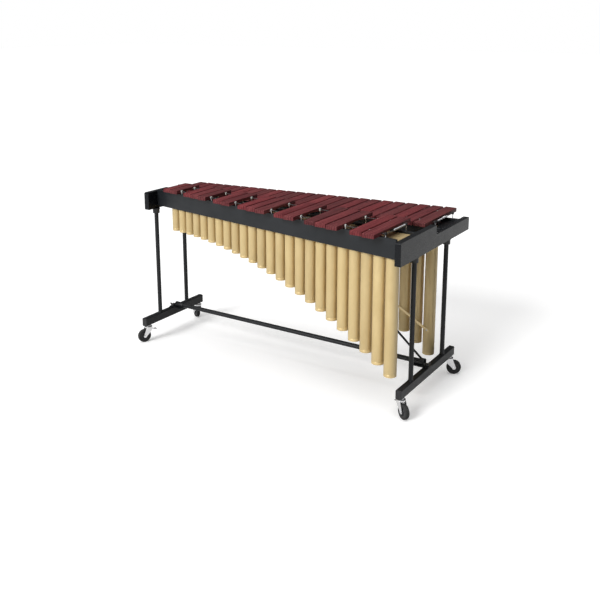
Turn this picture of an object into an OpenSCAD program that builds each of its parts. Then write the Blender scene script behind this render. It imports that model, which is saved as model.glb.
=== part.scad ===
// Free-standing keyboard percussion instrument: 42 wooden bars on a tapered frame,
// two banks of resonator tubes, and a two-footed stand on four swivel casters.
//
// Frame of reference, in millimetres:
//   X runs along the instrument, towards the low notes;
//   Y runs from the raised bars (front) to the player's side (back);
//   Z is up, and the floor is Z = 0. X = 0 and Y = 0 lie on the crossbar's middle.

/* [Overall] */
// Half of the distance between the outer faces of the two end boards
half_length = 836; // [800:1:900]
// Thickness of an end board
board_t = 30; // [20:1:40]
// Height of the floor-side edge of the low-note end board
low_board_z = 751; // [700:1:800]
// Height of the floor-side edge of the high-note end board
high_board_z = 762; // [700:1:800]
// Height of the raised top edge of both end boards
board_top_z = 860; // [830:1:900]
// Height of the lower top edge, beside the lower row of bars
board_step_z = 815; // [780:1:826]
// Front edge of the low-note end board
low_board_front = -381; // [-420:1:-376]
// Back edge of the low-note end board
low_board_back = 414; // [380:1:440]
// Front edge of the high-note end board
high_board_front = -183; // [-220:1:-130]
// Back edge of the high-note end board
high_board_back = 246; // [232:1:280]

/* [Bars] */
// X of the highest bar of the back row
first_bar_x = -770; // [-772:1:-760]
// Distance between neighbouring bars at the high end
high_pitch = 55.8; // [54:0.1:57]
// Distance between neighbouring bars at the low end
low_pitch = 69.3; // [66:0.1:70]
// Share of the pitch that a bar's width takes
bar_fill = 0.87; // [0.8:0.01:0.88]
// Thickness of every bar
bar_t = 20; // [16:1:24]
// Height of the underside of the back row of bars
natural_z = 832; // [826:1:840]
// Height of the underside of the front row of bars
accidental_z = 873; // [870:1:885]
// Share of a bar's length that overhangs the cord at each end
overhang = 0.224; // [0.2:0.001:0.25]
// Diameter of the cord holes drilled across the bars
cord_hole_d = 7; // [5:0.5:8]
// Diameter of the cord that carries the bars
cord_d = 3.5; // [2.5:0.5:4]

/* [Rails] */
// Height of the upper edge of the front rail
front_rail_top = 868; // [860:1:869]
// Depth of the front rail, from top to bottom
front_rail_h = 91; // [80:1:100]
// Thickness of the front rail
front_rail_t = 14; // [10:1:15]
// Height of the upper edge of the raised inner rail
inner_rail_top = 850; // [840:1:860]
// Height of the upper edge of both lower rails
lower_rail_top = 815; // [800:1:820]
// Thickness of the three other rails
rail_t = 18; // [14:1:22]

/* [Resonators] */
// Diameter of the smallest tube
high_tube_d = 48; // [44:1:50]
// Diameter of the largest tube
low_tube_d = 61; // [56:1:62]
// Wall of a tube
tube_wall = 1.5; // [1:0.1:3]
// Height of the plate that the front tubes hang from
front_plate_z = 838; // [830:1:845]
// Height of the plate that the back tubes hang from
back_plate_z = 800; // [790:1:808]
// Thickness of both plates
plate_t = 2; // [1:0.5:3]
// Height of the end of the shortest front tube
front_tube_high_end = 645; // [600:1:700]
// How much lower the longest front tube ends
front_tube_drop = 440; // [300:1:480]
// Height of the end of the shortest back tube
back_tube_high_end = 640; // [600:1:700]
// How much lower the longest back tube ends
back_tube_drop = 515; // [300:1:530]

/* [Stand] */
// X of both legs and of the foot beam at each end
leg_x = 812; // [800:1:818]
// Diameter of a leg
leg_d = 23; // [20:1:30]
// Half length of the low-note foot beam
low_foot_half = 312; // [280:1:360]
// Half length of the high-note foot beam
high_foot_half = 249; // [220:1:300]
// Width of a foot beam
foot_w = 30; // [25:1:40]
// Height of a foot beam
foot_h = 46; // [30:1:60]
// Height of the underside of a foot beam
foot_z = 97; // [95:1:110]
// Distance from the middle to each low-note leg
low_leg_y = 185; // [150:1:220]
// Distance from the middle to each high-note leg
high_leg_y = 117; // [100:1:150]
// Diameter of the crossbar
crossbar_d = 24; // [20:1:30]
// Diameter of the diagonal brace
brace_d = 11; // [8:1:14]

/* [Casters] */
// Diameter of a caster wheel
wheel_d = 75; // [60:1:80]
// Width of a caster tyre
wheel_w = 22; // [18:1:26]
// Distance from the swivel axis to the wheel's axle
caster_trail = 26; // [15:1:30]
// Distance from the end of a foot beam to a swivel axis
caster_inset = 28; // [20:1:40]

/* [Hidden] */
$fn = 48;
nudge = 0.01;
inner_x = half_length - board_t;
naturals = 25;

// --- Lines that run along the instrument, each given at its two ends -------
front_rail_y = [-104, -361.5];
inner_rail_y = [-10.4, -146.8];
lower_inner_y = [103.7, 120.9];
back_rail_y = [210.6, 345.24];
front_tube_y = [-70, -320];
back_tube_y = [156, 201];

function along(line, x) = line[0] + (line[1] - line[0]) * (x + inner_x) / (2 * inner_x);
function angle_of(line) = atan((line[1] - line[0]) / (2 * inner_x));

// --- Bars and the slots between them ---------------------------------------
// Bar 1 is the highest natural; slot k lies between naturals k + 1 and k + 2.
function pitch(j) = high_pitch + (low_pitch - high_pitch) * (j - 1) / (naturals - 2);
function natural_x(j) =
    first_bar_x + (j - 1) * high_pitch
    + (low_pitch - high_pitch) * (j - 1) * (j - 2) / (2 * (naturals - 2));
function slot_x(k) = (natural_x(k + 1) + natural_x(k + 2)) / 2;
slots = naturals - 1;

// The raised bars stand in groups of two and three.
groups = [[1, 2], [4, 5, 6], [8, 9], [11, 12, 13], [15, 16], [18, 19, 20], [22, 23]];

function tube_d(x) =
    high_tube_d + (low_tube_d - high_tube_d) * (x - slot_x(1)) / (slot_x(slots) - slot_x(1));
function front_tube_end(k) = front_tube_high_end - front_tube_drop * pow(k / slots, 2.4);
function back_tube_end(j) = back_tube_high_end - back_tube_drop * pow(j / naturals, 2.6);

natural_cord_z = natural_z + bar_t / 2;
accidental_cord_z = accidental_z + bar_t / 2;

// --- Stand -------------------------------------------------------------------
foot_top = foot_z + foot_h;
stand_tube_wall = 2;
saddle_t = 4;
sleeve_wall = 3;
crossbar_z = foot_top + saddle_t + crossbar_d / 2 + sleeve_wall;
crossbar_half = 786;
collar_d = 38;
collar_h = 28;
knob_z = foot_top + saddle_t;
knob_stem_d = 8;
knob_hole_d = 8.1;

// The brace runs up from the saddle at the crossbar's low end to the tie under the deck.
brace_foot = [784, foot_top + saddle_t + 12];
brace_head = [80, 771];
tie_z = 790;
tie_h = 18;
tie_w = 34;
tie_x = [-520, -210, 80, 480];

// --- Casters -------------------------------------------------------------------
// Each caster, in the order front high, back high, front low, back low: end of the
// instrument, side of the foot, and heading of its trail.
caster_side = [[-1, -1], [-1, 1], [1, -1], [1, 1]];
caster_heading = [-114, 149, -33, 31];
function caster_xy(i) = [
    caster_side[i][0] * leg_x,
    caster_side[i][1] * ((caster_side[i][0] > 0 ? low_foot_half : high_foot_half) - caster_inset)
];
axle_z = wheel_d / 2;
axle_d = 8;
hub_d = 50;
hub_bore = 8.1;
stem_d = 12;
fork_top = 88;
fork_crown_d = 44;
cheek_t = 2.5;
cheek_gap = wheel_w + 5;
pedal_hinge = [-9, 74];

// ---------------------------------------------------------------- helpers ----
// A box from one corner to the opposite one.
module span(from, to) {
    translate(from) cube(to - from);
}

// A round bar between two points of one X-Z plane.
module rod_xz(from, to, y, d) {
    run = to - from;
    translate([from[0], y, from[1]])
        rotate([0, atan2(run[0], run[1]), 0])
            cylinder(d = d, h = norm(run));
}

// A straight round bar that follows a rail line at height z.
module along_line(line, z, d, from_x, to_x) {
    start = [from_x, along(line, from_x), z];
    run = [to_x, along(line, to_x), z] - start;
    translate(start)
        rotate([0, 90, atan2(run[1], run[0])])
            cylinder(d = d, h = norm(run));
}

// A rail of rectangular section between the inner faces of the end boards.
module rail(line, top, height, thick) {
    linear_extrude_at(top - height, height)
        polygon([
            [-inner_x, line[0] - thick / 2], [inner_x, line[1] - thick / 2],
            [inner_x, line[1] + thick / 2], [-inner_x, line[0] + thick / 2]
        ]);
}

module linear_extrude_at(z, h) {
    translate([0, 0, z]) linear_extrude(h) children();
}

// ------------------------------------------------------------------ frame ----
back_rail_h = 68;
inner_rail_h = 58;
lower_inner_h = 46;

module front_rail() {
    color("dimgray") rail(front_rail_y, front_rail_top, front_rail_h, front_rail_t);
}

module back_rail() {
    color("dimgray") rail(back_rail_y, lower_rail_top, back_rail_h, rail_t);
}

module raised_inner_rail() {
    color("black") rail(inner_rail_y, inner_rail_top, inner_rail_h, rail_t);
}

module lower_inner_rail() {
    color("black") rail(lower_inner_y, lower_rail_top, lower_inner_h, rail_t);
}

step_slope = 8;
board_ease = 3;
board_round = 9;

// Side outline of an end board: raised in front, one step down behind. Its top front
// corner is rounded, and its lower front corner is eased.
module board_outline(front, back, bottom) {
    polygon(concat(
        [
            [front, bottom + board_ease], [front + board_ease, bottom], [back, bottom],
            [back, board_step_z], [step_slope, board_step_z], [0, board_step_z + step_slope],
            [0, board_top_z]
        ],
        [
            for (turn = [90 : 15 : 180])
                [front + board_round * (1 + cos(turn)), board_top_z - board_round * (1 - sin(turn))]
        ]
    ));
}

module end_board(side, front, back, bottom) {
    translate([side > 0 ? inner_x : -half_length, 0, 0])
        rotate([90, 0, 90])
            linear_extrude(board_t)
                board_outline(front, back, bottom);
}

module low_end_board() {
    color("dimgray") end_board(1, low_board_front, low_board_back, low_board_z);
}

module high_end_board() {
    color("black") end_board(-1, high_board_front, high_board_back, high_board_z);
}

// Short ties join the two inner rails across the open channel between the tube banks.
module inner_rail_ties() {
    color("black") for (x = tie_x)
        linear_extrude_at(tie_z, tie_h)
            polygon([
                [x - tie_w / 2, along(inner_rail_y, x - tie_w / 2) + rail_t / 2],
                [x + tie_w / 2, along(inner_rail_y, x + tie_w / 2) + rail_t / 2],
                [x + tie_w / 2, along(lower_inner_y, x + tie_w / 2) - rail_t / 2],
                [x - tie_w / 2, along(lower_inner_y, x - tie_w / 2) - rail_t / 2]
            ]);
}

// --- Brackets inside the deck -------------------------------------------------
angle_leg = 20;
angle_t = 2.5;
angle_h = 30;
// Each rail end: its line, its thickness, the face that the bracket lies on, and the
// height of the bracket's lower edge.
rail_ends = [
    [front_rail_y, front_rail_t, 1, front_rail_top - 82],
    [inner_rail_y, rail_t, 1, inner_rail_top - 54],
    [lower_inner_y, rail_t, -1, lower_rail_top - 38],
    [back_rail_y, rail_t, -1, lower_rail_top - 62]
];

// A point of a rail's bracketed face, back mm from the inner face of an end board.
function rail_face(end, rail, back) =
    [end * (inner_x - back), along(rail[0], end * (inner_x - back)) + rail[2] * rail[1] / 2];

// An angle bracket joins a rail's end to the inner face of its end board.
module rail_angle(end, rail) {
    corner = rail_face(end, rail, 0);
    tip = rail_face(end, rail, angle_leg);
    bend = rail_face(end, rail, angle_t);
    out = rail[2];
    linear_extrude_at(rail[3], angle_h)
        polygon([
            corner, tip, tip + [0, out * angle_t], bend + [0, out * angle_t],
            [bend[0], corner[1] + out * angle_leg], corner + [0, out * angle_leg]
        ]);
}

// Ledges on the inner faces of the end boards carry the resonator plates' ends.
ledge_w = 24;
ledge_l = 18;
ledge_t = 3;
ledge_drop = 22;

module plate_ledge(end, y, z) {
    x = end * inner_x;
    span([min(x, x - end * ledge_l), y - ledge_w / 2, z - ledge_t],
         [max(x, x - end * ledge_l), y + ledge_w / 2, z]);
    span([min(x, x - end * ledge_t), y - ledge_w / 2, z - ledge_drop],
         [max(x, x - end * ledge_t), y + ledge_w / 2, z]);
}

module deck_brackets() {
    color("black") for (end = [-1, 1]) {
        x = end * inner_x;
        front_far = end > 0 ? 60 : 8;
        for (rail = rail_ends)
            rail_angle(end, rail);
        plate_ledge(end, along(inner_rail_y, x) - (rail_t + ledge_w) / 2 - front_far, front_plate_z);
        plate_ledge(end, along(lower_inner_y, x) + (rail_t + ledge_w) / 2 + 4, back_plate_z);
    }
}

screw_head_d = 8;
screw_washer_t = 1.2;

// A dome-headed screw on its washer, with its head along +Z.
module screw_head() {
    cylinder(d = screw_head_d, h = screw_washer_t);
    translate([0, 0, screw_washer_t - nudge])
        cylinder(d1 = screw_head_d - 1, d2 = screw_head_d / 2, h = 2);
}

// One screw holds each leg of every angle bracket.
module bracket_screws() {
    color("silver") for (end = [-1, 1], rail = rail_ends) {
        z = rail[3] + angle_h / 2;
        corner = rail_face(end, rail, 0);
        hole = rail_face(end, rail, angle_leg - 8);
        translate([end * (inner_x - angle_t), corner[1] + rail[2] * (angle_leg - 7), z])
            rotate([0, end * -90, 0])
                screw_head();
        translate([hole[0], hole[1], z])
            rotate([rail[2] * -90, 0, angle_of(rail[0])])
                translate([0, 0, angle_t * cos(angle_of(rail[0]))])
                    screw_head();
    }
}

// ------------------------------------------------------------------- bars ----
bar_edge = 1.6;
arch_share = 0.42;

// One bar between two cord lines: rounded top edges, arched underside.
module bar(x, width, z, front_line, back_line) {
    spacing = along(back_line, x) - along(front_line, x);
    length = spacing / (1 - 2 * overhang);
    front = along(front_line, x) - overhang * length;
    arch_span = arch_share * length;
    arch_rise = 3.5 + 0.014 * length;
    arch_r = (arch_span * arch_span / 4 + arch_rise * arch_rise) / (2 * arch_rise);
    difference() {
        translate([x, front, z])
            rotate([90, 0, 180])
                linear_extrude(length)
                    polygon([
                        [-width / 2, 0.6], [-width / 2 + 0.6, 0],
                        [width / 2 - 0.6, 0], [width / 2, 0.6],
                        [width / 2, bar_t - bar_edge], [width / 2 - 0.5, bar_t - 0.5],
                        [width / 2 - bar_edge, bar_t], [-width / 2 + bar_edge, bar_t],
                        [-width / 2 + 0.5, bar_t - 0.5], [-width / 2, bar_t - bar_edge]
                    ]);
        translate([x, front + length / 2, z + arch_rise - arch_r])
            rotate([0, 90, 0])
                cylinder(r = arch_r, h = width + 2, center = true, $fn = 96);
    }
}

module natural_bars(first, last) {
    color("brown") difference() {
        for (j = [first : last])
            bar(natural_x(j), bar_fill * pitch(j), natural_z, lower_inner_y, back_rail_y);
        along_line(lower_inner_y, natural_cord_z, cord_hole_d, -half_length, half_length);
        along_line(back_rail_y, natural_cord_z, cord_hole_d, -half_length, half_length);
    }
}

module accidental_bars(chosen) {
    color("firebrick") difference() {
        for (g = chosen)
            for (k = groups[g])
                bar(slot_x(k), bar_fill * pitch(k + 1), accidental_z,
                    front_rail_y, inner_rail_y);
        along_line(front_rail_y, accidental_cord_z, cord_hole_d, -half_length, half_length);
        along_line(inner_rail_y, accidental_cord_z, cord_hole_d, -half_length, half_length);
    }
}

module natural_bars_octave_1() { natural_bars(naturals - 6, naturals); }
module natural_bars_octave_2() { natural_bars(naturals - 13, naturals - 7); }
module natural_bars_octave_3() { natural_bars(naturals - 20, naturals - 14); }
module natural_bars_top() { natural_bars(1, naturals - 21); }
module accidental_bars_octave_1() { accidental_bars([5, 6]); }
module accidental_bars_octave_2() { accidental_bars([3, 4]); }
module accidental_bars_octave_3() { accidental_bars([1, 2]); }
module accidental_bars_top() { accidental_bars([0]); }

// ------------------------------------------------------------------ cords ----
// Each row's cord turns at end posts just beyond the row's first and last bars.
natural_end_x = [-801, 776];
accidental_end_x = [-725, 746];
// The ends of a cord are joined by two springs beside the lowest bar, this far behind
// the row's front line.
natural_spring_y = 24;
accidental_spring_y = 74;
spring_l = 58;
spring_d = 8;
spring_wire = 1.2;
link_l = 12;
link_d = 3;
joint_l = 2 * spring_l + link_l;

// A stretch of cord straight across a row. It is under tension, so a little thinner.
module cord_across(x, from_y, to_y, z) {
    translate([x, from_y, z])
        rotate([-90, 0, 0])
            cylinder(d = cord_d - 0.3, h = to_y - from_y);
}

// One cord per row: along both lines, across above the high end, and to the springs.
module bar_cord(line_a, line_b, end_x, spring_y, z) {
    low_a = along(line_a, end_x[1]);
    low_b = along(line_b, end_x[1]);
    color("#242428") {
        for (line = [line_a, line_b])
            along_line(line, z, cord_d, end_x[0] - cord_d / 2, end_x[1] + cord_d / 2);
        cord_across(end_x[0], along(line_a, end_x[0]), along(line_b, end_x[0]), z);
        cord_across(end_x[1], low_a, low_a + spring_y, z);
        cord_across(end_x[1], low_a + spring_y + joint_l, low_b, z);
    }
}

module natural_bar_cord() {
    bar_cord(lower_inner_y, back_rail_y, natural_end_x, natural_spring_y, natural_cord_z);
}

module accidental_bar_cord() {
    bar_cord(front_rail_y, inner_rail_y, accidental_end_x, accidental_spring_y,
             accidental_cord_z);
}

// A closed-coil spring, as a row of round turns about one core.
module spring() {
    turns = floor(spring_l / spring_wire);
    rotate_extrude() {
        square([(spring_d - spring_wire) / 2, spring_l]);
        for (i = [0 : turns - 1])
            translate([(spring_d - spring_wire) / 2, (i + 0.5) * spring_l / turns])
                circle(d = spring_wire, $fn = 16);
    }
}

// Two springs end to end, with a short link between them.
module spring_pair(x, y, z) {
    translate([x, y, z])
        rotate([-90, 0, 0]) {
            spring();
            translate([0, 0, spring_l]) cylinder(d = link_d, h = link_l);
            translate([0, 0, spring_l + link_l]) spring();
        }
}

module cord_springs() {
    color("silver") {
        spring_pair(natural_end_x[1], along(lower_inner_y, natural_end_x[1]) + natural_spring_y,
                    natural_cord_z);
        spring_pair(accidental_end_x[1],
                    along(front_rail_y, accidental_end_x[1]) + accidental_spring_y,
                    accidental_cord_z);
    }
}

// ------------------------------------------------------------------ posts ----
hook_w = 5;
end_hook_w = 8;
hook_depth = 11;
hook_h = 12;
pin_d = 4;
eye_d = cord_d + 0.6;

natural_post_x = [for (j = [1 : naturals - 1]) (natural_x(j) + natural_x(j + 1)) / 2];
// A post stands on each side of every raised bar. The outermost two are end posts.
raised_gaps = [
    for (group = groups)
        for (i = [0 : len(group)])
            i < len(group)
            ? slot_x(group[i]) - pitch(group[i] + 0.5) / 2
            : slot_x(group[i - 1]) + pitch(group[i - 1] + 1.5) / 2
];
accidental_post_x = [for (i = [1 : len(raised_gaps) - 2]) raised_gaps[i]];

// A steel pin with a foot ring, standing on a rail.
module pin(x, line, base, top) {
    translate([x, along(line, x), base]) {
        cylinder(d = 7, h = 1.5);
        cylinder(d = pin_d, h = top - base);
    }
}

module natural_posts() {
    color("silver") for (x = concat(natural_end_x, natural_post_x)) {
        pin(x, lower_inner_y, lower_rail_top, natural_cord_z - hook_h / 2);
        pin(x, back_rail_y, lower_rail_top, natural_cord_z - hook_h / 2);
    }
}

module accidental_posts() {
    color("silver") for (x = concat(accidental_end_x, accidental_post_x)) {
        pin(x, front_rail_y, front_rail_top, accidental_cord_z - hook_h / 2);
        pin(x, inner_rail_y, inner_rail_top, accidental_cord_z - hook_h / 2);
    }
}

// A soft sleeve on a pin, with an eye that the cord passes through.
module hook(x, line, z, width) {
    translate([x, along(line, x), z])
        difference() {
            cube([width, hook_depth, hook_h], center = true);
            rotate([0, 90, angle_of(line)])
                cylinder(d = eye_d, h = 20, center = true);
        }
}

module post_hooks() {
    color("whitesmoke") {
        for (x = natural_post_x, line = [lower_inner_y, back_rail_y])
            hook(x, line, natural_cord_z, hook_w);
        for (x = accidental_post_x, line = [front_rail_y, inner_rail_y])
            hook(x, line, accidental_cord_z, hook_w);
    }
}

// An end post's sleeve has a second eye across the first, where the cord turns.
module end_hook(x, line, z) {
    difference() {
        hook(x, line, z, end_hook_w);
        translate([x, along(line, x), z])
            rotate([90, 0, 0])
                cylinder(d = eye_d, h = 20, center = true);
    }
}

module cord_end_hooks() {
    color("#222224") {
        for (x = natural_end_x, line = [lower_inner_y, back_rail_y])
            end_hook(x, line, natural_cord_z);
        for (x = accidental_end_x, line = [front_rail_y, inner_rail_y])
            end_hook(x, line, accidental_cord_z);
    }
}

// ------------------------------------------------------------- resonators ----
module tube(x, y, bottom, top) {
    d = tube_d(x);
    translate([x, y, bottom])
        difference() {
            cylinder(d = d, h = top - bottom);
            translate([0, 0, -1])
                cylinder(d = d - 2 * tube_wall, h = top - bottom + 2);
        }
}

module front_tubes(first, last) {
    color("wheat") for (k = [first : last])
        tube(slot_x(k), along(front_tube_y, slot_x(k)), front_tube_end(k), front_plate_z);
}

module back_tubes(first, last) {
    color("wheat") for (j = [first : last])
        tube(natural_x(j), along(back_tube_y, natural_x(j)), back_tube_end(j), back_plate_z);
}

half_slots = slots / 2;
half_naturals = 12;
module accidental_resonators_high() { front_tubes(1, half_slots); }
module accidental_resonators_low() { front_tubes(half_slots + 1, slots); }
module natural_resonators_high() { back_tubes(1, half_naturals); }
module natural_resonators_low() { back_tubes(half_naturals + 1, naturals); }

stopper_t = 6;
stopper_inset = 10;

// Discs that close each tube just above its lower end.
module resonator_stoppers() {
    color("gray") {
        for (k = [1 : slots])
            translate([slot_x(k), along(front_tube_y, slot_x(k)), front_tube_end(k) + stopper_inset])
                cylinder(d = tube_d(slot_x(k)) - 2 * tube_wall, h = stopper_t);
        for (j = [1 : naturals])
            translate([natural_x(j), along(back_tube_y, natural_x(j)),
                       back_tube_end(j) + stopper_inset])
                cylinder(d = tube_d(natural_x(j)) - 2 * tube_wall, h = stopper_t);
    }
}

// Each bank hangs from a flanged plate. The plate is open above every tube that
// has a bar over it, and closed above the tubes that only fill the row.
plate_end = inner_x - 2;
flange_h = 14;
flange_t = 1.5;
flange_gap = 24;
sounding = [for (group = groups) for (k = group) k];

module plate_outline(front_line, front_gap, back_line, back_gap) {
    polygon([
        [-plate_end, along(front_line, -plate_end) + front_gap],
        [plate_end, along(front_line, plate_end) + front_gap],
        [plate_end, along(back_line, plate_end) - back_gap],
        [-plate_end, along(back_line, -plate_end) - back_gap]
    ]);
}

module plate(z, front_line, front_gap, back_line, back_gap) {
    linear_extrude_at(z, plate_t)
        plate_outline(front_line, front_gap, back_line, back_gap);
    linear_extrude_at(z - flange_h, flange_h)
        difference() {
            plate_outline(front_line, front_gap, back_line, back_gap);
            plate_outline(front_line, front_gap + flange_t, back_line, back_gap + flange_t);
        }
}

module mouth(x, y, z) {
    translate([x, y, z - 1]) cylinder(d = tube_d(x) - 2 * tube_wall, h = plate_t + 2);
}

module accidental_top_plate() {
    color("goldenrod") difference() {
        plate(front_plate_z, front_rail_y, front_rail_t / 2 + 0.8, inner_rail_y, rail_t / 2 + 1);
        for (k = sounding)
            mouth(slot_x(k), along(front_tube_y, slot_x(k)), front_plate_z);
        plate_end_relief(front_plate_z);
    }
}

module natural_top_plate() {
    color("#232427") difference() {
        plate(back_plate_z, lower_inner_y, rail_t / 2 + 1, back_rail_y, rail_t / 2 + 1);
        for (j = [1 : naturals])
            mouth(natural_x(j), along(back_tube_y, natural_x(j)), back_plate_z);
        plate_end_relief(back_plate_z);
    }
}

// The flanges stop short of the end boards, so that the ledges fit under the plate.
module plate_end_relief(z) {
    for (end = [-1, 1])
        translate([end * (plate_end - flange_gap / 2 + 1), 0, z - (flange_h + 1) / 2])
            cube([flange_gap + 2, 2 * half_length, flange_h + 1], center = true);
}

// A sloping strap ties the longest back tubes together near their lower ends.
strap_low = [natural_x(naturals) + 8, 257];
strap_high = [natural_x(naturals - 7) - 8, 556];
strap_w = 12;
strap_t = 2;

function strap_y(x) = along(back_tube_y, x) - (tube_d(x) / 2 + 0.35) / cos(angle_of(back_tube_y));

strap_run = [strap_high[0] - strap_low[0], strap_y(strap_high[0]) - strap_y(strap_low[0])];
strap_turn = atan2(strap_run[1], strap_run[0]) - 180;
strap_rise = strap_high[1] - strap_low[1];

// Stands children on the strap line at x: their +Z points out in front of the tubes.
module on_strap(x) {
    translate([x, strap_y(x), strap_low[1] + strap_rise * (x - strap_low[0]) / strap_run[0]])
        rotate([0, 0, strap_turn])
            rotate([90, 0, 0])
                children();
}

module tube_tie_strap() {
    half_w = strap_w / 2;
    flat = norm(strap_run);
    color("goldenrod") on_strap(strap_low[0])
        linear_extrude(strap_t)
            polygon([
                [half_w, 0], [half_w, half_w], [-flat, strap_rise + half_w],
                [-flat, strap_rise - half_w], [0, -half_w], [half_w, -half_w]
            ]);
}

module strap_screws() {
    color("silver") for (j = [naturals, naturals - 7])
        on_strap(natural_x(j))
            translate([0, 0, strap_t])
                screw_head();
}

module screw_heads() {
    bracket_screws();
    strap_screws();
}

// ------------------------------------------------------------------ stand ----
module leg(x, y, board_z) {
    color("#202224") translate([x, y, foot_top]) difference() {
        union() {
            cylinder(d = leg_d, h = board_z - foot_top);
            // A weld ring round the bottom.
            cylinder(d1 = leg_d + 6, d2 = leg_d, h = 4);
        }
        translate([0, 0, -1])
            cylinder(d = leg_d - 2 * stand_tube_wall, h = board_z - foot_top + 2);
    }
}

module low_front_leg() { leg(leg_x, -low_leg_y, low_board_z); }
module low_back_leg() { leg(leg_x, low_leg_y, low_board_z); }
module high_front_leg() { leg(-leg_x, -high_leg_y, high_board_z); }
module high_back_leg() { leg(-leg_x, high_leg_y, high_board_z); }

// A split collar clamps each leg's top under its end board.
module collar(x, y, board_z) {
    translate([x, y, board_z - collar_h]) difference() {
        union() {
            cylinder(d = collar_d, h = collar_h);
            translate([0, 0, collar_h - 5]) cylinder(d = collar_d + 5, h = 5);
        }
        translate([0, 0, -1]) cylinder(d = leg_d + 0.1, h = collar_h + 2);
    }
}

module leg_collars() {
    color("#18191b") for (side = [-1, 1]) {
        collar(leg_x, side * low_leg_y, low_board_z);
        collar(-leg_x, side * high_leg_y, high_board_z);
    }
}

foot_wall = 2;
foot_edge = 2.5;

// A rectangular steel tube with eased edges, open at both ends.
module foot_section() {
    w = foot_w / 2;
    h = foot_h / 2;
    polygon([
        [-w + foot_edge, -h], [w - foot_edge, -h], [w, -h + foot_edge], [w, h - foot_edge],
        [w - foot_edge, h], [-w + foot_edge, h], [-w, h - foot_edge], [-w, -h + foot_edge]
    ]);
}

module foot_beam(x, half, inset_y) {
    color("#1e2022") difference() {
        translate([x, half, foot_z + foot_h / 2])
            rotate([90, 0, 0])
                linear_extrude(2 * half)
                    difference() {
                        foot_section();
                        square([foot_w - 2 * foot_wall, foot_h - 2 * foot_wall], center = true);
                    }
        for (side = [-1, 1])
            translate([x, side * inset_y, foot_z - 1])
                cylinder(d = stem_d + 0.1, h = foot_wall + 2);
        translate([x, 0, foot_top - foot_wall - 1])
            cylinder(d = knob_hole_d, h = foot_wall + 2);
    }
}

module low_foot_beam() { foot_beam(leg_x, low_foot_half, low_foot_half - caster_inset); }
module high_foot_beam() { foot_beam(-leg_x, high_foot_half, high_foot_half - caster_inset); }

cap_t = 3;

// Plastic plugs that close the four beam ends.
module end_cap(x, half, side) {
    translate([x, side * half, foot_z + foot_h / 2])
        rotate([side * -90, 0, 0]) {
            linear_extrude(cap_t) foot_section();
            translate([0, 0, -12])
                linear_extrude(12 + nudge)
                    square([foot_w - 2 * foot_wall - 0.2, foot_h - 2 * foot_wall - 0.2],
                           center = true);
        }
}

module foot_end_caps() {
    color("black") for (side = [-1, 1]) {
        end_cap(leg_x, low_foot_half, side);
        end_cap(-leg_x, high_foot_half, side);
    }
}

module crossbar() {
    color("#1b1c1e")
        translate([-crossbar_half, 0, crossbar_z])
            rotate([0, 90, 0])
                difference() {
                    cylinder(d = crossbar_d, h = 2 * crossbar_half);
                    translate([0, 0, -1])
                        cylinder(d = crossbar_d - 2 * stand_tube_wall, h = 2 * crossbar_half + 2);
                }
}

lug_y = 27;
lug_w = 22;
lug_t = 4;
saddle_rib_w = 16;
sleeve_l = 56;
sleeve_end = 790;
saddle_w = 44;

// A sleeve on a flat plate takes the crossbar's end; the plate lies on the foot beam.
// The low end also carries the lug that the brace is bolted to.
module saddle(with_lug) {
    inner = sleeve_end - sleeve_l;
    difference() {
        union() {
            span([inner, -saddle_w / 2, foot_top],
                 [leg_x + foot_w / 2, saddle_w / 2, foot_top + saddle_t]);
            translate([inner, 0, crossbar_z])
                rotate([0, 90, 0])
                    cylinder(d = crossbar_d + 2 * sleeve_wall, h = sleeve_l);
            span([inner, -saddle_rib_w / 2, foot_top], [sleeve_end, saddle_rib_w / 2, crossbar_z]);
            if (with_lug) {
                span([brace_foot[0] - lug_w / 2, 0, foot_top],
                     [brace_foot[0] + lug_w / 2, lug_y + lug_t, foot_top + saddle_t]);
                span([brace_foot[0] - lug_w / 2, lug_y, foot_top],
                     [brace_foot[0] + lug_w / 2, lug_y + lug_t, brace_foot[1] + lug_w / 2]);
            }
        }
        translate([inner - 1, 0, crossbar_z])
            rotate([0, 90, 0])
                cylinder(d = crossbar_d + 0.1, h = crossbar_half - inner + 1.2);
        translate([leg_x, 0, foot_top - 1])
            cylinder(d = knob_hole_d, h = saddle_t + 2);
    }
}

module crossbar_saddles() {
    color("#2a2b2d") {
        saddle(true);
        mirror([1, 0, 0]) saddle(false);
    }
}

knob_stem_l = saddle_t + foot_wall + 8;
boss_d = 18;
boss_h = 8;

// A clamping knob with two wings on a round boss.
module wing_knob(side) {
    color("black") translate([side * leg_x, 0, knob_z + 0.2]) {
        cylinder(d = boss_d, h = boss_h);
        translate([0, 0, boss_h - nudge]) cylinder(d1 = boss_d, d2 = boss_d - 6, h = 6);
        for (turn = [0, 180]) rotate([0, 0, turn + 55])
            translate([4, 0, 2])
                rotate([90, 0, 0])
                    linear_extrude(5, center = true)
                        polygon([
                            [0, 0], [9, 2], [15, 8], [16, 15], [13, 18], [9, 16], [4, 10], [0, 9]
                        ]);
        // The threaded stem passes down into the foot beam.
        translate([0, 0, -knob_stem_l])
            cylinder(d = knob_stem_d, h = knob_stem_l + nudge);
    }
}

module low_wing_knob() { wing_knob(1); }
module high_wing_knob() { wing_knob(-1); }

// A round rod with a flattened eye at each end.
eye_t = 5;
brace_y = lug_y - brace_d / 2;

module brace_eye(at) {
    translate([at[0], lug_y, at[1]]) rotate([90, 0, 0]) cylinder(d = 20, h = eye_t);
}

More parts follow.
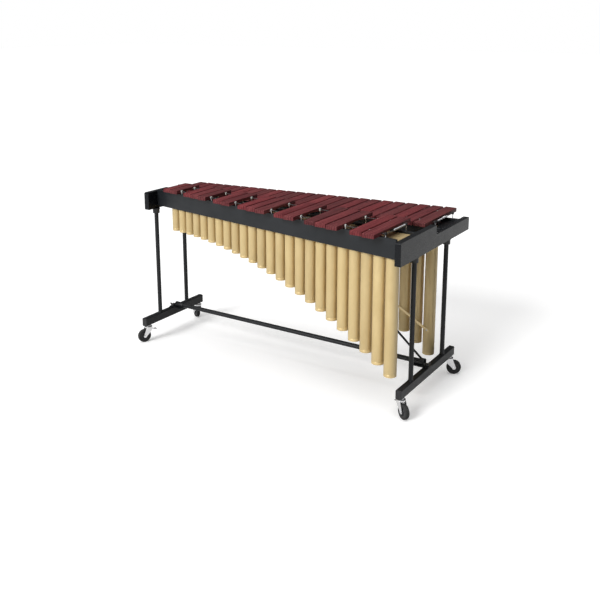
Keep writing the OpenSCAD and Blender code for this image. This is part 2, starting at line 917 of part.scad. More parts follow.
module diagonal_brace() {
    color("#1b1c1e") {
        rod_xz(brace_foot, brace_head, brace_y, brace_d);
        brace_eye(brace_foot);
        brace_eye(brace_head);
        // The upper eye hangs from a short stud under the tie.
        translate([brace_head[0], brace_y, brace_head[1]])
            cylinder(d = 9, h = tie_z - brace_head[1]);
        // A bolt head holds the lower eye against the lug.
        translate([brace_foot[0], lug_y - eye_t, brace_foot[1]])
            rotate([90, 0, 0]) cylinder(d = 10, h = 4);
    }
}

// ---------------------------------------------------------------- casters ----
module at_caster(i) {
    translate([caster_xy(i)[0], caster_xy(i)[1], 0])
        rotate([0, 0, caster_heading[i]])
            children();
}

// Steel stems stand in the foot beams and carry the swivelling forks.
module caster_stems() {
    color("silver") for (i = [0 : 3])
        translate([caster_xy(i)[0], caster_xy(i)[1], 0]) {
            translate([0, 0, fork_top + 1.5]) cylinder(d = 30, h = foot_z - fork_top - 1.5);
            translate([0, 0, fork_top - 8]) cylinder(d = stem_d, h = foot_z + 30 - fork_top + 8);
        }
}

// A pressed fork: a round crown, two cheeks and a riveted axle. The local X axis
// points along the trail.
module fork(i) {
    color("gainsboro") at_caster(i) {
        difference() {
            translate([0, 0, fork_top - 6]) cylinder(d = fork_crown_d, h = 7);
            translate([0, 0, fork_top - 8]) cylinder(d = stem_d + 0.1, h = 12);
        }
        for (side = [-1, 1])
            translate([0, side * (cheek_gap / 2 + cheek_t / 2) + cheek_t / 2, 0])
                rotate([90, 0, 0])
                    linear_extrude(cheek_t)
                        difference() {
                            union() {
                                polygon([
                                    [-17, fork_top - 1], [17, fork_top - 1],
                                    [caster_trail + 9, axle_z + 2], [caster_trail - 9, axle_z - 2],
                                    [-14, fork_top - 22]
                                ]);
                                translate([caster_trail, axle_z]) circle(d = 19);
                            }
                            if (i % 2 == 0)
                                translate(pedal_hinge) circle(d = 4.1);
                        }
        translate([caster_trail, 0, axle_z])
            rotate([90, 0, 0]) {
                cylinder(d = axle_d, h = cheek_gap + 2 * cheek_t + 2, center = true);
                for (end = [-1, 1])
                    translate([0, 0, end * (cheek_gap / 2 + cheek_t + 1.5)])
                        cylinder(d = 12, h = 3, center = true);
            }
    }
}

module front_high_fork() { fork(0); }
module back_high_fork() { fork(1); }
module front_low_fork() { fork(2); }
module back_low_fork() { fork(3); }

tyre_round = 4;

// A tyre with rounded shoulders, seated on the hub.
module tyre(i) {
    color("#141414") at_caster(i)
        translate([caster_trail, 0, axle_z])
            rotate([90, 0, 0])
                rotate_extrude($fn = 64) {
                    translate([hub_d / 2, -wheel_w / 2 + tyre_round])
                        square([wheel_d / 2 - hub_d / 2, wheel_w - 2 * tyre_round]);
                    translate([hub_d / 2, -wheel_w / 2])
                        square([wheel_d / 2 - hub_d / 2 - tyre_round, wheel_w]);
                    for (side = [-1, 1])
                        translate([wheel_d / 2 - tyre_round, side * (wheel_w / 2 - tyre_round)])
                            circle(r = tyre_round, $fn = 24);
                }
}

module front_high_tyre() { tyre(0); }
module back_high_tyre() { tyre(1); }
module front_low_tyre() { tyre(2); }
module back_low_tyre() { tyre(3); }

// A dished hub with a bored boss that turns on the axle.
module hub(i) {
    color("#2b2b2d") at_caster(i)
        translate([caster_trail, 0, axle_z])
            rotate([90, 0, 0])
                rotate_extrude($fn = 64)
                    polygon([
                        [hub_bore / 2, -wheel_w / 2 - 1.5], [9, -wheel_w / 2 - 1.5],
                        [9, -6], [hub_d / 2 - 4, -5], [hub_d / 2 - 3, -wheel_w / 2 + 1],
                        [hub_d / 2, -wheel_w / 2 + 1], [hub_d / 2, wheel_w / 2 - 1],
                        [hub_d / 2 - 3, wheel_w / 2 - 1], [hub_d / 2 - 4, 5], [9, 6],
                        [9, wheel_w / 2 + 1.5], [hub_bore / 2, wheel_w / 2 + 1.5]
                    ]);
}

module front_high_hub() { hub(0); }
module back_high_hub() { hub(1); }
module front_low_hub() { hub(2); }
module back_low_hub() { hub(3); }

// A foot lever between the cheeks: its tread sticks out opposite the wheel, and its
// nose swings up against the tyre when the tread is pressed.
module brake_pedal(i) {
    color("silver") at_caster(i)
        translate([pedal_hinge[0], 0, pedal_hinge[1]]) {
            rotate([90, 0, 0])
                cylinder(d = 4, h = cheek_gap + 2 * cheek_t, center = true);
            rotate([90, 0, 0])
                linear_extrude(wheel_w - 4, center = true)
                    polygon([
                        [-4, 4], [3, 3.5], [6.5, -10], [3.8, -11.5], [-3, -4],
                        [-24, -9], [-40, -10.5], [-40, -8], [-24, -5]
                    ]);
        }
}

module front_high_brake_pedal() { brake_pedal(0); }
module front_low_brake_pedal() { brake_pedal(2); }

front_rail();
back_rail();
raised_inner_rail();
lower_inner_rail();
low_end_board();
high_end_board();
inner_rail_ties();
deck_brackets();
screw_heads();
natural_bars_octave_1();
natural_bars_octave_2();
natural_bars_octave_3();
natural_bars_top();
accidental_bars_octave_1();
accidental_bars_octave_2();
accidental_bars_octave_3();
accidental_bars_top();
natural_bar_cord();
accidental_bar_cord();
cord_springs();
natural_posts();
accidental_posts();
post_hooks();
cord_end_hooks();
natural_resonators_low();
natural_resonators_high();
accidental_resonators_low();
accidental_resonators_high();
resonator_stoppers();
accidental_top_plate();
natural_top_plate();
tube_tie_strap();
low_front_leg();
low_back_leg();
high_front_leg();
high_back_leg();
leg_collars();
low_foot_beam();
high_foot_beam();
foot_end_caps();
crossbar();
crossbar_saddles();
low_wing_knob();
high_wing_knob();
diagonal_brace();
caster_stems();
front_high_fork();
back_high_fork();
front_low_fork();
back_low_fork();
front_high_tyre();
back_high_tyre();
front_low_tyre();
back_low_tyre();
front_high_hub();
back_high_hub();
front_low_hub();
back_low_hub();
front_high_brake_pedal();
front_low_brake_pedal();
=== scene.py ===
"""The looks of a wooden-bar keyboard percussion instrument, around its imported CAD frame.

Lengths are in metres, in the CAD model's own frame: +X towards the low notes, +Y towards
the player's side, +Z up, with the floor at Z = 0.
"""

import math

import bmesh
import bpy
import numpy as np
from mathutils import Euler, Matrix, Vector


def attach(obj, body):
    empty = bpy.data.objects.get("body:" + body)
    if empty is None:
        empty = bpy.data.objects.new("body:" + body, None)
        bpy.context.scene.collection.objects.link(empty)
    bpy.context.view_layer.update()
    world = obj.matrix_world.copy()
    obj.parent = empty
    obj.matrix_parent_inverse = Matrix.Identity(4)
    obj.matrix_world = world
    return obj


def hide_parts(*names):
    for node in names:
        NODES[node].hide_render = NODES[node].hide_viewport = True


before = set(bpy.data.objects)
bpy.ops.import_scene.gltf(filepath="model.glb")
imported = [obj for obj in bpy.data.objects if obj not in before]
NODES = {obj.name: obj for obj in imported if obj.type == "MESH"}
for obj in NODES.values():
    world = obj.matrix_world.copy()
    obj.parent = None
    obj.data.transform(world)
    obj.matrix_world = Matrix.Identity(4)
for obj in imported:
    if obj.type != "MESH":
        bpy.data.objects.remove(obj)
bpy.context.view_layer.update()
MM = 0.001

# ------------------------------------------------------------------ camera ----
# Fitted to points of the object in the photo: metres, degrees, and the lens in millimetres.
CAMERA_AT = (2.3053, -3.4882, 1.802)
CAMERA_YAW = 32.583
CAMERA_DOWN = 13.11
CAMERA_LENS = 49.333
SENSOR_WIDTH = 36.0
CAMERA_SHIFT = -0.15


def make_camera():
    """The camera at the photo's viewing angle."""
    data = bpy.data.cameras.new("camera")
    data.lens = CAMERA_LENS
    data.sensor_width = SENSOR_WIDTH
    data.shift_y = CAMERA_SHIFT
    camera = bpy.data.objects.new("camera", data)
    camera.location = CAMERA_AT
    camera.rotation_euler = Euler(
        (math.radians(90 - CAMERA_DOWN), 0, math.radians(CAMERA_YAW)))
    bpy.context.scene.collection.objects.link(camera)
    bpy.context.scene.camera = camera


# --------------------------------------------------------------- materials ----
# A Mix node has a set of sockets for each kind of value; these are the places of its colour ones.
MIX_FACTOR = 0
MIX_FIRST = 6
MIX_SECOND = 7
MIX_RESULT = 2


class Graph:
    """A material's node tree, with short calls for the nodes that the finishes share."""

    def __init__(self, name, **fixed):
        self.material = bpy.data.materials.new(name)
        self.material.use_nodes = True
        self.tree = self.material.node_tree
        self.shader = self.tree.nodes["Principled BSDF"]
        for socket, value in fixed.items():
            self.shader.inputs[socket.replace("_", " ")].default_value = value

    def node(self, kind, **values):
        made = self.tree.nodes.new(kind)
        for name, value in values.items():
            setattr(made, name, value)
        return made

    def link(self, source, target):
        self.tree.links.new(source, target)

    def coords(self, scale=(1, 1, 1), offset=None):
        """The piece's own coordinates in metres, stretched by scale."""
        place = self.node("ShaderNodeMapping")
        place.inputs["Scale"].default_value = scale
        self.link(self.node("ShaderNodeTexCoord").outputs["Object"], place.inputs["Vector"])
        if offset is not None:
            self.link(offset, place.inputs["Location"])
        return place.outputs["Vector"]

    def noise(self, vector, scale, detail=4.0, roughness=0.55, distortion=0.0):
        made = self.node("ShaderNodeTexNoise")
        made.inputs["Scale"].default_value = scale
        made.inputs["Detail"].default_value = detail
        made.inputs["Roughness"].default_value = roughness
        made.inputs["Distortion"].default_value = distortion
        self.link(vector, made.inputs["Vector"])
        return made.outputs["Fac"]

    def wave(self, vector, scale, distortion, detail):
        """Bands across X."""
        made = self.node("ShaderNodeTexWave")
        made.inputs["Scale"].default_value = scale
        made.inputs["Distortion"].default_value = distortion
        made.inputs["Detail"].default_value = detail
        self.link(vector, made.inputs["Vector"])
        return made.outputs["Fac"]

    def ramp(self, value, *stops):
        """A colour ramp; each stop is (position, colour)."""
        made = self.node("ShaderNodeValToRGB")
        elements = made.color_ramp.elements
        while len(elements) < len(stops):
            elements.new(0.5)
        for element, (position, colour) in zip(elements, stops):
            element.position = position
            element.color = (*colour, 1)
        self.link(value, made.inputs["Fac"])
        return made.outputs["Color"]

    def span(self, value, low, high, start=0.3, end=0.7):
        """value between start and end becomes low to high."""
        made = self.node("ShaderNodeMapRange")
        made.inputs["From Min"].default_value = start
        made.inputs["From Max"].default_value = end
        made.inputs["To Min"].default_value = low
        made.inputs["To Max"].default_value = high
        self.link(value, made.inputs["Value"])
        return made.outputs["Result"]

    def mix(self, factor, first, second, blend="MIX"):
        """Two colours mixed; each argument is a value or another node's socket."""
        made = self.node("ShaderNodeMix", data_type="RGBA", blend_type=blend)
        for place, value in ((MIX_FACTOR, factor), (MIX_FIRST, first), (MIX_SECOND, second)):
            if isinstance(value, bpy.types.NodeSocket):
                self.link(value, made.inputs[place])
            else:
                made.inputs[place].default_value = value
        return made.outputs[MIX_RESULT]

    def add(self, first, second, share=0.5):
        """first and second added, the second at a share of its strength."""
        made = self.node("ShaderNodeMath", operation="MULTIPLY_ADD")
        self.link(second, made.inputs[0])
        made.inputs[1].default_value = share
        self.link(first, made.inputs[2])
        return made.outputs[0]

    def attribute(self, name):
        """A number that the mesh carries at each vertex."""
        return self.node("ShaderNodeAttribute", attribute_name=name).outputs["Fac"]

    def colour(self, source):
        self.link(source, self.shader.inputs["Base Color"])

    def rough(self, source):
        self.link(source, self.shader.inputs["Roughness"])

    def bump(self, height, strength, distance):
        made = self.node("ShaderNodeBump")
        made.inputs["Strength"].default_value = strength
        made.inputs["Distance"].default_value = distance
        self.link(height, made.inputs["Height"])
        self.link(made.outputs["Normal"], self.shader.inputs["Normal"])


def painted(name, dark, light, gloss, grain_scale, grain, shine):
    """Paint or powder coat: a fine grain, faint cloudy tone, and smudged gloss."""
    g = Graph(name, Specular_IOR_Level=shine)
    clouds = g.noise(g.coords(), 6.0, 5.0, 0.6)
    fine = g.noise(g.coords(), grain_scale, 2.0, 0.5)
    g.colour(g.ramp(g.add(clouds, fine, 0.25), (0.42, dark), (0.82, light)))
    g.rough(g.span(g.noise(g.coords((1, 1, 2.2)), 14.0, 6.0, 0.65), gloss[0], gloss[1]))
    g.bump(fine, grain, 0.0004)
    return g.material


def metal(name, dark, light, gloss, metallic, streak, streak_scale, bump=0.15):
    """Bare or plated metal: streaks along one axis, with small changes in tone and gloss."""
    g = Graph(name, Metallic=metallic)
    lines = g.noise(g.coords(streak), streak_scale, 5.0, 0.7)
    clouds = g.noise(g.coords(), 18.0, 4.0, 0.6)
    g.colour(g.ramp(g.add(lines, clouds, 0.35), (0.4, dark), (0.9, light)))
    g.rough(g.span(clouds, gloss[0], gloss[1]))
    g.bump(lines, bump, 0.0002)
    return g.material


def bar_wood():
    """Oiled red-brown hardwood: long grain along the bar, dark pores, a dull lacquer."""
    g = Graph("bar_wood", Specular_IOR_Level=0.11, Coat_Weight=0.02, Coat_Roughness=0.3)
    tone = g.attribute("tone")
    shift = g.node("ShaderNodeCombineXYZ")
    g.link(tone, shift.inputs["X"])
    g.link(tone, shift.inputs["Z"])
    figure = g.noise(g.coords((9, 0.7, 9), shift.outputs["Vector"]), 3.0, 5.0, 0.6, 0.9)
    rings = g.wave(g.coords((1, 0.06, 1), shift.outputs["Vector"]), 26.0, 7.0, 3.0)
    pores = g.noise(g.coords((60, 2.2, 60), shift.outputs["Vector"]), 14.0, 3.0, 0.7)
    base = g.ramp(g.add(figure, rings, 0.35), (0.38, (0.078, 0.016, 0.019)),
                  (0.64, (0.143, 0.030, 0.035)), (0.92, (0.212, 0.056, 0.057)))
    streaked = g.mix(g.span(pores, 0.55, 0.0, 0.36, 0.5), base, (0.030, 0.007, 0.008, 1))
    toned = g.mix(1.0, streaked, g.ramp(tone, (0.0, (0.78, 0.92, 0.88)), (0.5, (1.0, 1.0, 1.0)),
                                        (1.0, (1.22, 0.98, 1.0))), "MULTIPLY")
    g.colour(toned)
    g.rough(g.span(figure, 0.42, 0.60))
    g.bump(g.add(pores, rings, 0.2), 0.25, 0.0003)
    return g.material


def tube_gold():
    """Champagne lacquer over drawn aluminium: fine drawing lines and a soft sheen."""
    g = Graph("tube_gold", Metallic=0.2, Coat_Weight=0.1, Coat_Roughness=0.3)
    tone = g.attribute("tone")
    lines = g.noise(g.coords((190, 190, 1.4)), 6.0, 4.0, 0.65)
    clouds = g.noise(g.coords((2, 2, 0.8)), 9.0, 4.0, 0.6)
    base = g.ramp(g.add(clouds, lines, 0.4), (0.4, (0.64, 0.48, 0.229)),
                  (0.95, (0.775, 0.608, 0.32)))
    g.colour(g.mix(1.0, base, g.ramp(tone, (0.0, (0.93, 0.92, 0.90)),
                                     (1.0, (1.05, 1.04, 1.0))), "MULTIPLY"))
    g.rough(g.span(clouds, 0.36, 0.5))
    g.bump(lines, 0.12, 0.0002)
    return g.material


def cord_fibre():
    """Dark twisted cord, greyer where the strands rub."""
    g = Graph("cord_fibre", Sheen_Weight=0.2)
    fibres = g.noise(g.coords((30, 400, 400)), 8.0, 3.0, 0.6)
    g.colour(g.ramp(fibres, (0.35, (0.018, 0.018, 0.020)), (0.65, (0.060, 0.058, 0.060))))
    g.rough(g.span(fibres, 0.75, 0.92))
    g.bump(fibres, 0.4, 0.0002)
    return g.material


def soft_rubber(name, dark, light, gloss, scale=140.0):
    """Rubber or moulded plastic: a fine matt skin with scuffed lighter patches."""
    g = Graph(name, Specular_IOR_Level=0.4)
    skin = g.noise(g.coords(), scale * 6, 2.0, 0.5)
    scuffs = g.noise(g.coords((1, 1, 1.6)), scale / 3, 6.0, 0.7)
    g.colour(g.ramp(g.add(scuffs, skin, 0.2), (0.48, dark), (0.86, light)))
    g.rough(g.span(scuffs, gloss[0], gloss[1]))
    g.bump(skin, 0.3, 0.0002)
    return g.material


BOARD_BLACK = painted("board_black", (0.004, 0.005, 0.007), (0.010, 0.011, 0.013),
                      (0.22, 0.34), 900.0, 0.10, 0.18)
RAIL_BLACK = painted("rail_black", (0.008, 0.010, 0.012), (0.018, 0.020, 0.023),
                     (0.30, 0.44), 700.0, 0.16, 0.32)
STAND_BLACK = painted("stand_black", (0.005, 0.006, 0.007), (0.014, 0.015, 0.017),
                      (0.36, 0.52), 1100.0, 0.40, 0.30)
PLASTIC_BLACK = soft_rubber("plastic_black", (0.010, 0.010, 0.011), (0.030, 0.030, 0.032),
                            (0.34, 0.50))
TYRE_BLACK = soft_rubber("tyre_black", (0.012, 0.012, 0.013), (0.050, 0.049, 0.047),
                         (0.62, 0.85), 220.0)
HUB_BLACK = soft_rubber("hub_black", (0.020, 0.020, 0.021), (0.055, 0.055, 0.057), (0.34, 0.52))
HOOK_GREY = soft_rubber("hook_grey", (0.52, 0.52, 0.50), (0.74, 0.74, 0.71), (0.55, 0.75))
SLEEVE_BLACK = soft_rubber("sleeve_black", (0.014, 0.014, 0.015), (0.040, 0.040, 0.042),
                           (0.55, 0.75))
BAR_WOOD = bar_wood()
TUBE_GOLD = tube_gold()
CORD_FIBRE = cord_fibre()
PLATE_GOLD = metal("plate_gold", (0.55, 0.41, 0.20), (0.66, 0.51, 0.27), (0.38, 0.55), 0.3,
                   (4, 90, 90), 9.0)
STOPPER_GOLD = metal("stopper_gold", (0.30, 0.23, 0.13), (0.52, 0.41, 0.24), (0.42, 0.6),
                     0.5, (40, 40, 40), 4.0)
STRAP_GOLD = metal("strap_gold", (0.50, 0.38, 0.19), (0.78, 0.62, 0.35), (0.30, 0.45), 0.6,
                   (3, 3, 3), 40.0)
CHROME = metal("chrome", (0.60, 0.60, 0.61), (0.86, 0.86, 0.87), (0.10, 0.24), 1.0,
               (60, 60, 8), 8.0, 0.05)
STEEL = metal("steel", (0.38, 0.38, 0.39), (0.64, 0.64, 0.65), (0.26, 0.42), 1.0,
              (14, 90, 90), 8.0)
SPRING_STEEL = metal("spring_steel", (0.30, 0.30, 0.31), (0.56, 0.56, 0.57), (0.24, 0.38),
                     1.0, (90, 90, 90), 6.0)


# ------------------------------------------------------------------ pieces ----
# The CAD meshes' split vertices, and which edges are rounded: those that turn by this angle.
WELD_WITHIN = 0.00001
ROUNDING_STEPS = 3
ROUNDED_FROM = 32


def paint(thing, material):
    """Puts one material on a piece or a CAD node."""
    thing.data.materials.clear()
    thing.data.materials.append(material)


def soften(node, width):
    """Joins a CAD node's split vertices and rounds its sharp edges by width."""
    weld = NODES[node].modifiers.new("weld", "WELD")
    weld.merge_threshold = WELD_WITHIN
    bevel = NODES[node].modifiers.new("rounding", "BEVEL")
    bevel.width = width
    bevel.segments = ROUNDING_STEPS
    bevel.limit_method = "ANGLE"
    bevel.angle_limit = math.radians(ROUNDED_FROM)
    bevel.harden_normals = True


def finish_node(node, material, round_by):
    """Paints a CAD node that stays as it is, with its sharp edges rounded by round_by."""
    paint(NODES[node], material)
    if round_by > 0:
        soften(node, round_by)


def solids_of(node):
    """The lowest and highest corner of each solid of a CAD node, in order along +X."""
    mesh = bmesh.new()
    mesh.from_mesh(NODES[node].data)
    bmesh.ops.remove_doubles(mesh, verts=mesh.verts, dist=WELD_WITHIN)
    waiting = set(mesh.verts)
    boxes = []
    while waiting:
        stack = [waiting.pop()]
        low = Vector(stack[0].co)
        high = Vector(stack[0].co)
        while stack:
            vertex = stack.pop()
            low = Vector(map(min, low, vertex.co))
            high = Vector(map(max, high, vertex.co))
            for edge in vertex.link_edges:
                other = edge.other_vert(vertex)
                if other in waiting:
                    waiting.remove(other)
                    stack.append(other)
        boxes.append((low, high))
    mesh.free()
    return sorted(boxes, key=lambda box: box[0].x)


def middle_of(low, high):
    return (low + high) / 2


# How far apart in height two parts of the same row may be.
SAME_ROW = 10 * MM


def row_of(node):
    """A row's cord: its radius, its four turning points and its springs' two outer ends."""
    heights = [v.co.z for v in NODES[node].data.vertices]
    level = (min(heights) + max(heights)) / 2
    corners = [middle_of(*box) for box in solids_of("cord_end_hooks")]
    corners = sorted((c for c in corners if abs(c.z - level) < SAME_ROW),
                     key=lambda c: (c.x > 0, c.y))
    parts = [box for box in solids_of("cord_springs")
             if abs(middle_of(*box).z - level) < SAME_ROW]
    x = corners[2].x
    spring_ends = [Vector((x, min(low.y for low, high in parts), level)),
                   Vector((x, max(high.y for low, high in parts), level))]
    return (max(heights) - min(heights)) / 2, corners, spring_ends


def object_from(name, mesh):
    """Makes a bmesh into an object in the scene, with its faces all outwards."""
    data = bpy.data.meshes.new(name)
    bmesh.ops.recalc_face_normals(mesh, faces=mesh.faces)
    mesh.to_mesh(data)
    mesh.free()
    made = bpy.data.objects.new(name, data)
    bpy.context.scene.collection.objects.link(made)
    return made


def new_piece(name, mesh, material, body, replaced, sharp=30):
    """Makes a bmesh into a smooth-shaded piece that rides on a body, in a CAD node's place."""
    piece = object_from(name, mesh)
    piece.data.shade_smooth()
    piece.data.set_sharp_from_angle(angle=math.radians(sharp))
    paint(piece, material)
    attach(piece, body)
    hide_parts(replaced)


def loft(mesh, rings, loop=False):
    """Joins rings of points, all of one length, into a skin. Returns the vertices.

    With loop the last ring joins the first; without it both ends are closed.
    """
    rows = [[mesh.verts.new(p) for p in ring] for ring in rings]
    pairs = list(zip(rows, rows[1:]))
    if loop:
        pairs.append((rows[-1], rows[0]))
    for first, second in pairs:
        for i in range(len(first)):
            j = (i + 1) % len(first)
            mesh.faces.new((first[i], first[j], second[j], second[i]))
    if not loop:
        mesh.faces.new(rows[0])
        mesh.faces.new(rows[-1])
    return [v for row in rows for v in row]


def lathe(mesh, profile, place, steps):
    """Turns a closed profile of (radius, height) about the local Z of place."""
    turned = []
    for i in range(steps):
        angle = 2 * math.pi * i / steps
        turned.append([place @ Vector((r * math.cos(angle), r * math.sin(angle), z))
                       for r, z in profile])
    return loft(mesh, turned, loop=True)


def tube_rings(points, radius, sides):
    """Rings of a round tube that follows a list of points."""
    rings = []
    side = None
    for i, point in enumerate(points):
        ahead = points[min(i + 1, len(points) - 1)] - points[max(i - 1, 0)]
        ahead.normalize()
        if side is None:
            side = ahead.orthogonal().normalized()
        side = (side - ahead * side.dot(ahead)).normalized()
        across = ahead.cross(side)
        rings.append([point + radius * (side * math.cos(a) + across * math.sin(a))
                      for a in (2 * math.pi * k / sides for k in range(sides))])
    return rings


def tone_layer(mesh):
    return mesh.verts.layers.float.new("tone")


# Steps of the golden ratio never repeat a tone, so that neighbours differ.
GOLDEN_STEP = 0.61803398875
FIRST_TONE = 0.21


def tone_of(index):
    """A tone from 0 to 1 that jumps about from one bar or tube to the next."""
    return (index * GOLDEN_STEP + FIRST_TONE) % 1.0


# --------------------------------------------------------------------- bars ----
# The rounded corners, the arch as shares of the bar's length, and the holes for the cord.
BAR_TOP_ROUND = 2.6 * MM
BAR_LOW_ROUND = 0.8 * MM
LEAST_ROUND = 0.05 * MM
CORNER_STEPS = 4
ARCH_SHARE = 0.42
ARCH_BASE = 3.5 * MM
ARCH_GROWTH = 0.014
ARCH_STEPS = 14
END_ROUND = 1.8 * MM
CORD_HOLE_R = 3.5 * MM
CORD_HOLE_SIDES = 24
DRILL_OVERRUN = 60 * MM


def bar_profile(width, bottom, top, inset):
    """A bar's section with rounded corners, drawn in by inset at its ends."""
    points = []
    corners = ((-1, bottom, BAR_LOW_ROUND, 180), (1, bottom, BAR_LOW_ROUND, 270),
               (1, top, BAR_TOP_ROUND, 0), (-1, top, BAR_TOP_ROUND, 90))
    for side, level, radius, start in corners:
        up = 1 if level == bottom else -1
        centre = (side * (width / 2 - radius), level + up * radius)
        shrunk = max(radius - inset, LEAST_ROUND)
        for k in range(CORNER_STEPS + 1):
            a = math.radians(start + 90 * k / CORNER_STEPS)
            points.append((centre[0] + shrunk * math.cos(a), centre[1] + shrunk * math.sin(a)))
    return points


def arch_height(y, middle, length):
    """How far the underside rises at y, on a circular arch."""
    half_span = ARCH_SHARE * length / 2
    rise = ARCH_BASE + ARCH_GROWTH * length
    radius = (half_span ** 2 + rise ** 2) / (2 * rise)
    return max(0.0, rise - radius + math.sqrt(max(0.0, radius ** 2 - (y - middle) ** 2)))


def add_bar(mesh, low, high, tone, layer):
    """One bar, rounded at its ends and arched underneath, that fills a box."""
    length = high.y - low.y
    middle = (low.y + high.y) / 2
    centre_x = (low.x + high.x) / 2
    half_span = ARCH_SHARE * length / 2
    inner = [middle + half_span * math.sin(math.pi / 2 * k / ARCH_STEPS)
             for k in range(-ARCH_STEPS, ARCH_STEPS + 1)]
    stations = [(low.y, END_ROUND), (low.y + 0.3 * END_ROUND, 0.3 * END_ROUND),
                (low.y + END_ROUND, 0.0)]
    stations += [(y, 0.0) for y in inner]
    stations += [(high.y - END_ROUND, 0.0), (high.y - 0.3 * END_ROUND, 0.3 * END_ROUND),
                 (high.y, END_ROUND)]
    rings = []
    for y, inset in stations:
        bottom = low.z + arch_height(y, middle, length)
        rings.append([(centre_x + x, y, z)
                      for x, z in bar_profile(high.x - low.x, bottom, high.z, inset)])
    for vertex in loft(mesh, rings):
        vertex[layer] = tone


def drilled(mesh, runs, radius):
    """The same bmesh with round holes cut along runs of (start, end)."""
    tool = bmesh.new()
    for start, end in runs:
        beyond = (end - start).normalized() * DRILL_OVERRUN
        loft(tool, tube_rings([start - beyond, end + beyond], radius, CORD_HOLE_SIDES))
    blank = object_from("blank", mesh)
    cutter = object_from("cutter", tool)
    cut = blank.modifiers.new("cut", "BOOLEAN")
    cut.operation = "DIFFERENCE"
    cut.solver = "EXACT"
    cut.object = cutter
    shaped = blank.evaluated_get(bpy.context.evaluated_depsgraph_get())
    result = bmesh.new()
    result.from_mesh(shaped.to_mesh())
    for done in (blank, cutter):
        data = done.data
        bpy.data.objects.remove(done)
        bpy.data.meshes.remove(data)
    return result


def make_bars(node, cord, first_index):
    """One octave's bars, each with its own tone; returns how many there are."""
    mesh = bmesh.new()
    layer = tone_layer(mesh)
    boxes = solids_of(node)
    for k, (low, high) in enumerate(boxes):
        add_bar(mesh, low, high, tone_of(first_index + k), layer)
    corners = row_of(cord)[1]
    mesh = drilled(mesh, ((corners[0], corners[2]), (corners[1], corners[3])), CORD_HOLE_R)
    new_piece(node + "_wood", mesh, BAR_WOOD, "frame", node, sharp=38)
    return len(boxes)


# ------------------------------------------------------------------- tubes ----
# The wall, its rounded rims, and the crimped groove round the stopper near the foot.
TUBE_WALL = 1.5 * MM
RIM_ROUND = 0.6 * MM
CRIMP_UP = 13 * MM
CRIMP_DEEP = 0.8 * MM
CRIMP_HALF = 1.6 * MM
TUBE_STEPS = 56
BANK_TONES = 12


def tube_profile(radius, bottom, top):
    """Outer wall with a crimped groove near the foot, rounded rims, and the inner wall."""
    inner = radius - TUBE_WALL
    middle = radius - TUBE_WALL / 2
    crimp = bottom + CRIMP_UP
    return [
        (inner, bottom + RIM_ROUND), (middle, bottom), (radius - 0.15 * MM, bottom + 0.2 * MM),
        (radius, bottom + RIM_ROUND), (radius, crimp - CRIMP_HALF),
        (radius - 0.6 * CRIMP_DEEP, crimp - 0.4 * CRIMP_HALF), (radius - CRIMP_DEEP, crimp),
        (radius - 0.6 * CRIMP_DEEP, crimp + 0.4 * CRIMP_HALF), (radius, crimp + CRIMP_HALF),
        (radius, top), (inner, top)
    ]


def make_tubes(node, first_index):
    """One bank's tubes, each with its own tone."""
    mesh = bmesh.new()
    layer = tone_layer(mesh)
    for k, (low, high) in enumerate(solids_of(node)):
        centre = Vector(((low.x + high.x) / 2, (low.y + high.y) / 2, 0))
        profile = tube_profile((high.x - low.x) / 2, low.z, high.z)
        for vertex in lathe(mesh, profile, Matrix.Translation(centre), TUBE_STEPS):
            vertex[layer] = tone_of(first_index + k)
    new_piece(node + "_tubes", mesh, TUBE_GOLD, "frame", node, sharp=40)


# ------------------------------------------------------------------- cords ----
# The twist's length for one turn, and a strand's radius as a share of the cord's.
STRANDS = 3
STRAND_PITCH = 11 * MM
STRAND_STEPS = 8
STRAND_SHARE = 0.52
STRAND_SIDES = 6


def rope_strand(mesh, start, end, radius, phase):
    """One strand of a twisted cord along a straight run."""
    run = end - start
    ahead = run.normalized()
    side = ahead.orthogonal().normalized()
    across = ahead.cross(side)
    steps = max(2, int(run.length / STRAND_PITCH * STRAND_STEPS))
    strand_r = radius * STRAND_SHARE
    reach = radius - strand_r
    points = []
    for i in range(steps + 1):
        angle = phase + 2 * math.pi * run.length * i / steps / STRAND_PITCH
        points.append(start + run * (i / steps)
                      + reach * (side * math.cos(angle) + across * math.sin(angle)))
    loft(mesh, tube_rings(points, strand_r, STRAND_SIDES))


def make_cord(node):
    """One row's cord, down both its lines, across the high end and to its springs."""
    radius, (high_front, high_back, low_front, low_back), (joint_front, joint_back) = row_of(node)
    mesh = bmesh.new()
    for k in range(STRANDS):
        phase = 2 * math.pi * k / STRANDS
        for start, end in ((high_front, low_front), (high_back, low_back),
                           (high_front, high_back), (low_front, joint_front),
                           (joint_back, low_back)):
            rope_strand(mesh, start, end, radius, phase)
    new_piece(node + "_strands", mesh, CORD_FIBRE, "frame", node)


# ----------------------------------------------------------------- springs ----
# The coils and their eyes; a solid shorter than SPRING_MIN_L is a rod that links two of them.
WIRE_R = 0.6 * MM
COIL_PITCH = 2.1 * WIRE_R
EYE_R = 2.4 * MM
LINK_R = 0.9 * MM
LINK_EYE_R = 1.7 * MM
SPRING_MIN_L = 30 * MM
WIRE_SIDES = 6
COIL_STEPS = 16
EYE_STEPS = 20
EYE_SIDES = 8
LINK_SIDES = 8


def wire_ring(mesh, centre, radius, wire):
    """A round eye of wire in the upright plane along Y."""
    ring = [centre + radius * Vector((0, math.cos(a), math.sin(a)))
            for a in (2 * math.pi * k / EYE_STEPS for k in range(EYE_STEPS))]
    rows = []
    for point in ring:
        out = (point - centre).normalized()
        rows.append([point + wire * (out * math.cos(a) + Vector((1, 0, 0)) * math.sin(a))
                     for a in (2 * math.pi * n / EYE_SIDES for n in range(EYE_SIDES))])
    loft(mesh, rows, loop=True)


